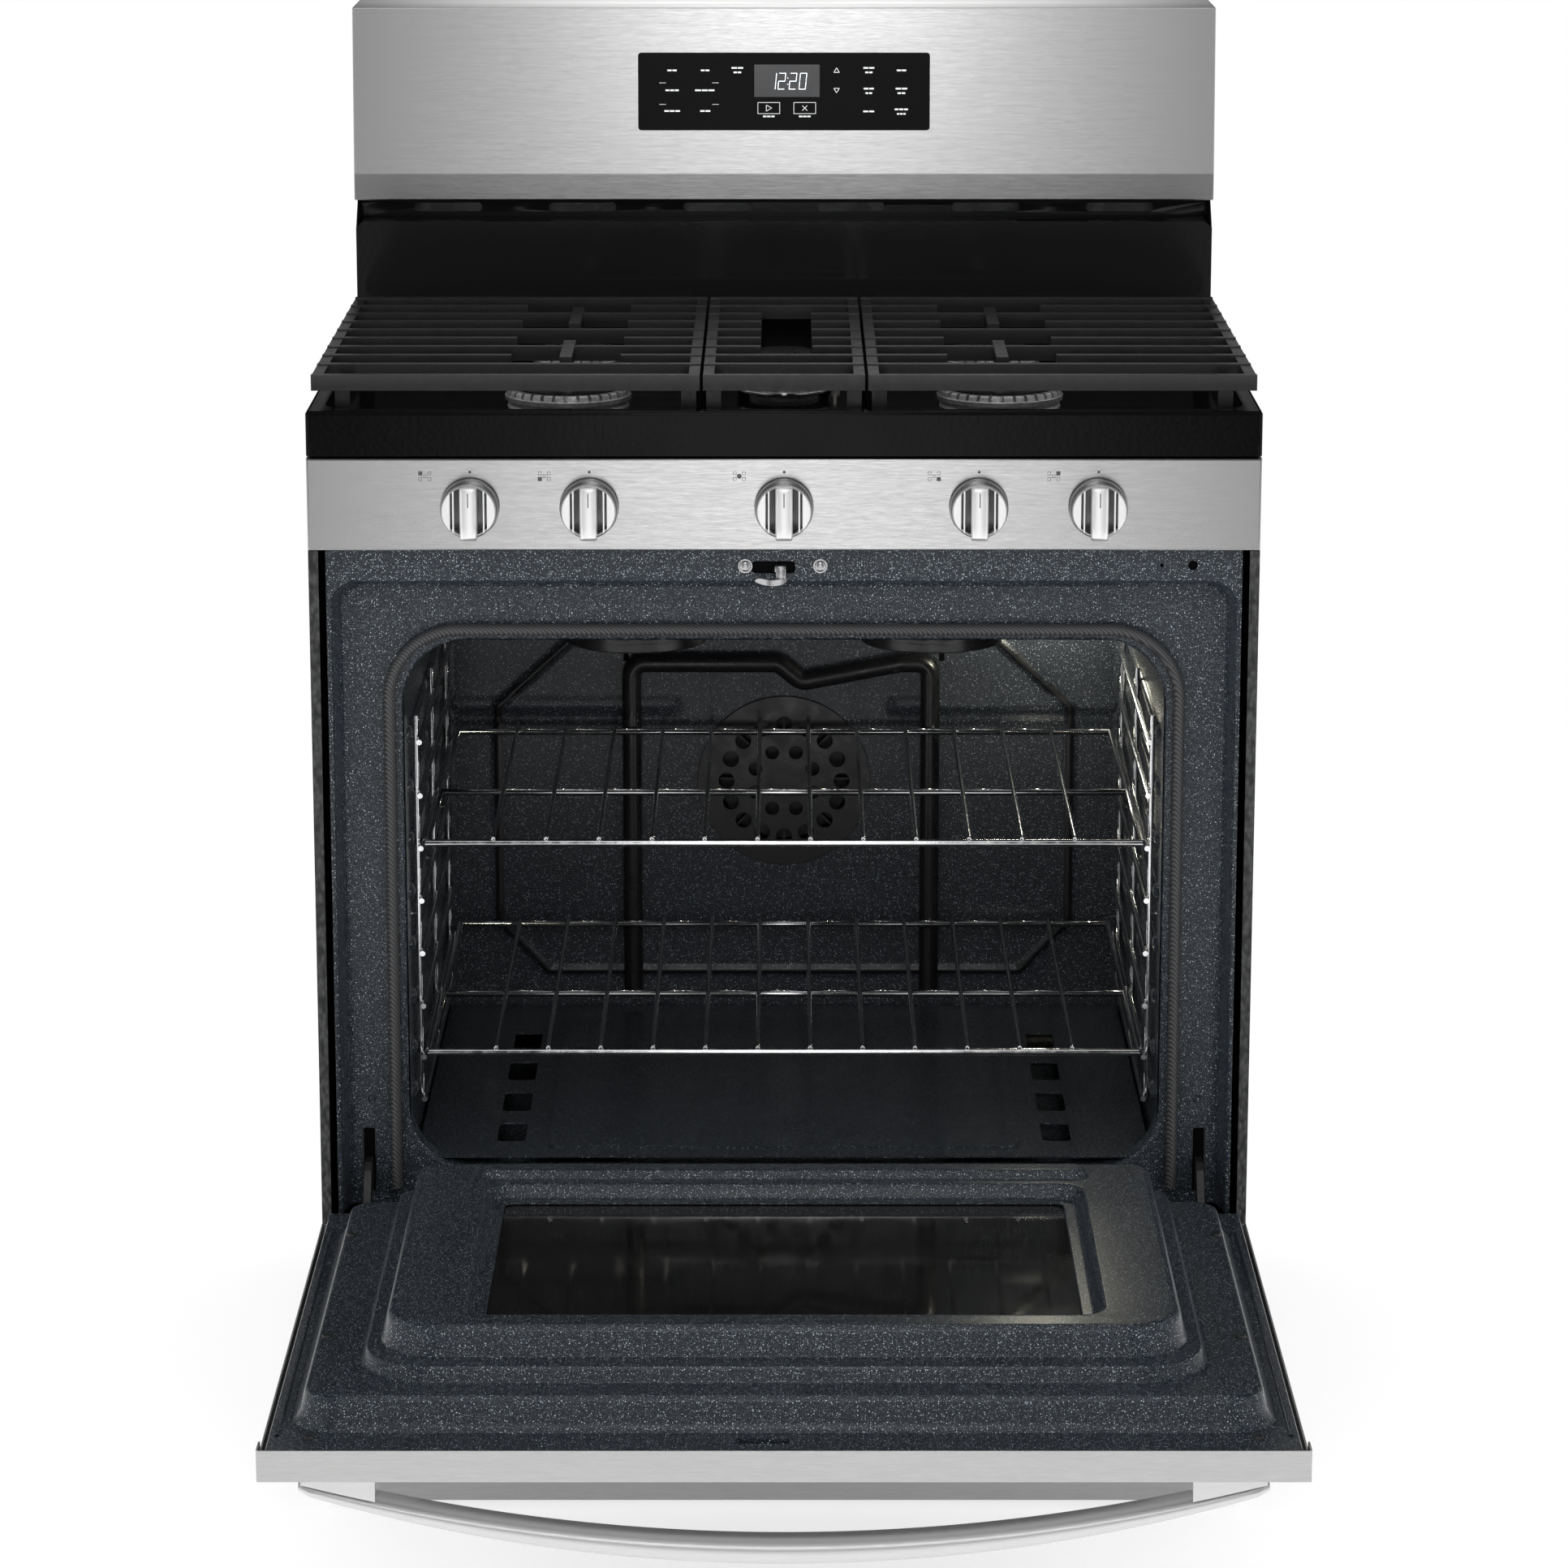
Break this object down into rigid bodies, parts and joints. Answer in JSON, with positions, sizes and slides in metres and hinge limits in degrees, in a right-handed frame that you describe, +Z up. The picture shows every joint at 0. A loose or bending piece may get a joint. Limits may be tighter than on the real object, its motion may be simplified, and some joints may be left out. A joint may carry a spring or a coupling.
{
  "type": "freestanding gas range",
  "caption": "Freestanding gas cooker with cast grates over the hob, front control knobs, rear guard with clock, drop-down oven door, sliding racks and storage drawer.",
  "frame": {"origin": "on the floor, at the middle of the footprint with the oven door down", "axes": "+X to the right seen from the front, +Y from the front to the wall, +Z up"},
  "size_m": [0.759, 1.188, 1.188],
  "materials": {
    "stainless": "horizontally brushed stainless steel",
    "handle_steel": "fine satin stainless steel",
    "knob_metal": "satin metal with bright edges",
    "gloss_enamel": "gloss black porcelain enamel",
    "porcelain": "dark blue-grey porcelain enamel with fine pale speckle",
    "cap_enamel": "matt black enamel",
    "grate_iron": "satin black coated cast iron",
    "burner_metal": "cast metal",
    "ceramic": "white ceramic",
    "side_paint": "black textured paint",
    "dark_paint": "black painted steel",
    "galvanised": "zinc coated sheet",
    "brass_parts": "plain brass",
    "foot_plastic": "matt black plastic",
    "black_glass": "gloss black glass",
    "window_glass": "smoked window glass",
    "lamp_glass": "clear lamp cover",
    "gasket_rubber": "woven dark grey gasket",
    "chrome_wire": "bright plated wire",
    "fibre": "mineral fibre blanket"
  },
  "bodies": {
    "chassis": {"side_panel_left": "side_paint", "side_panel_right": "side_paint", "rear_panel": "galvanised", "base_pan": "galvanised", "levelling_legs": "foot_plastic", "lower_cross_rail": "dark_paint", "cooktop": "gloss_enamel", "burner_heads": "burner_metal", "burner_caps": "cap_enamel", "igniters": "ceramic", "backguard_shell": "stainless", "display_glass": "black_glass", "backguard_lower_panel": "gloss_enamel", "control_panel": "stainless", "gas_valves": "brass_parts", "manifold_pipe": "galvanised", "gas_regulator": "brass_parts", "cord_gland": "foot_plastic", "oven_front_frame": "porcelain", "oven_cavity": "porcelain", "oven_floor": "porcelain", "oven_gasket": "gasket_rubber", "broil_burner": "cap_enamel", "bake_burner": "burner_metal", "rear_wall_tube": "cap_enamel", "fan_cover": "porcelain", "fan_motor": "dark_paint", "oven_lamp": "lamp_glass", "insulation_wrap": "fibre", "rack_supports": "chrome_wire", "latch_housing": "galvanised", "hinge_claws": "dark_paint", "drawer_rails": "galvanised"},
    "oven_door": {"door_skin": "stainless", "door_outer_glass": "black_glass", "door_liner": "porcelain", "door_inner_glass": "window_glass", "door_glass_frame": "dark_paint", "door_hinge_bodies": "galvanised", "handle_bar": "handle_steel", "handle_mounts": "handle_steel"},
    "upper_rack": {"upper_rack": "chrome_wire"},
    "lower_rack": {"lower_rack": "chrome_wire"},
    "drawer": {"drawer_front": "stainless", "drawer_box": "dark_paint"},
    "fan": {"fan_blade": "dark_paint"},
    "latch_hook": {"latch_hook": "chrome_wire"},
    "grate_left": {"grate_left": "grate_iron"},
    "grate_centre": {"grate_centre": "grate_iron"},
    "grate_right": {"grate_right": "grate_iron"},
    "stem_left_rear": {"stem_left_rear": "galvanised"},
    "knob_left_rear": {"knob_left_rear": "knob_metal"},
    "stem_left_front": {"stem_left_front": "galvanised"},
    "knob_left_front": {"knob_left_front": "knob_metal"},
    "stem_centre": {"stem_centre": "galvanised"},
    "knob_centre": {"knob_centre": "knob_metal"},
    "stem_right_front": {"stem_right_front": "galvanised"},
    "knob_right_front": {"knob_right_front": "knob_metal"},
    "stem_right_rear": {"stem_right_rear": "galvanised"},
    "knob_right_rear": {"knob_right_rear": "knob_metal"}
  },
  "joints": [
    {"name": "door_hinge", "type": "hinge", "parent": "chassis", "child": "oven_door", "pos_m": [0, -0.045, 0.249], "axis": [1, 0, 0], "range_deg": [-90, 0]},
    {"name": "upper_rack_slide", "type": "slide", "parent": "chassis", "child": "upper_rack", "axis": [0, -1, 0], "range_m": [0, 0.33]},
    {"name": "lower_rack_slide", "type": "slide", "parent": "chassis", "child": "lower_rack", "axis": [0, -1, 0], "range_m": [0, 0.33]},
    {"name": "drawer_slide", "type": "slide", "parent": "chassis", "child": "drawer", "axis": [0, -1, 0], "range_m": [0, 0.35]},
    {"name": "fan_spin", "type": "hinge", "parent": "chassis", "child": "fan", "pos_m": [0, 0.467, 0.496], "axis": [0, -1, 0], "continuous": true},
    {"name": "latch_slide", "type": "slide", "parent": "chassis", "child": "latch_hook", "axis": [-1, 0, 0], "range_m": [0, 0.014]},
    {"name": "grate_left_lift", "type": "slide", "parent": "chassis", "child": "grate_left", "axis": [0, 0, 1], "range_m": [0, 0.08]},
    {"name": "grate_centre_lift", "type": "slide", "parent": "chassis", "child": "grate_centre", "axis": [0, 0, 1], "range_m": [0, 0.08]},
    {"name": "grate_right_lift", "type": "slide", "parent": "chassis", "child": "grate_right", "axis": [0, 0, 1], "range_m": [0, 0.08]},
    {"name": "left_rear_turn", "type": "hinge", "parent": "chassis", "child": "stem_left_rear", "pos_m": [-0.2497, -0.044, 0.8383], "axis": [0, -1, 0], "range_deg": [0, 270]},
    {"name": "left_rear_push", "type": "slide", "parent": "stem_left_rear", "child": "knob_left_rear", "axis": [0, 1, 0], "range_m": [0, 0.003], "stiffness_N_per_m": 900},
    {"name": "left_front_turn", "type": "hinge", "parent": "chassis", "child": "stem_left_front", "pos_m": [-0.1548, -0.044, 0.8383], "axis": [0, -1, 0], "range_deg": [0, 270]},
    {"name": "left_front_push", "type": "slide", "parent": "stem_left_front", "child": "knob_left_front", "axis": [0, 1, 0], "range_m": [0, 0.003], "stiffness_N_per_m": 900},
    {"name": "centre_turn", "type": "hinge", "parent": "chassis", "child": "stem_centre", "pos_m": [0, -0.044, 0.8383], "axis": [0, -1, 0], "range_deg": [0, 270]},
    {"name": "centre_push", "type": "slide", "parent": "stem_centre", "child": "knob_centre", "axis": [0, 1, 0], "range_m": [0, 0.003], "stiffness_N_per_m": 900},
    {"name": "right_front_turn", "type": "hinge", "parent": "chassis", "child": "stem_right_front", "pos_m": [0.1548, -0.044, 0.8383], "axis": [0, -1, 0], "range_deg": [0, 270]},
    {"name": "right_front_push", "type": "slide", "parent": "stem_right_front", "child": "knob_right_front", "axis": [0, 1, 0], "range_m": [0, 0.003], "stiffness_N_per_m": 900},
    {"name": "right_rear_turn", "type": "hinge", "parent": "chassis", "child": "stem_right_rear", "pos_m": [0.2497, -0.044, 0.8383], "axis": [0, -1, 0], "range_deg": [0, 270]},
    {"name": "right_rear_push", "type": "slide", "parent": "stem_right_rear", "child": "knob_right_rear", "axis": [0, 1, 0], "range_m": [0, 0.003], "stiffness_N_per_m": 900}
  ]
}
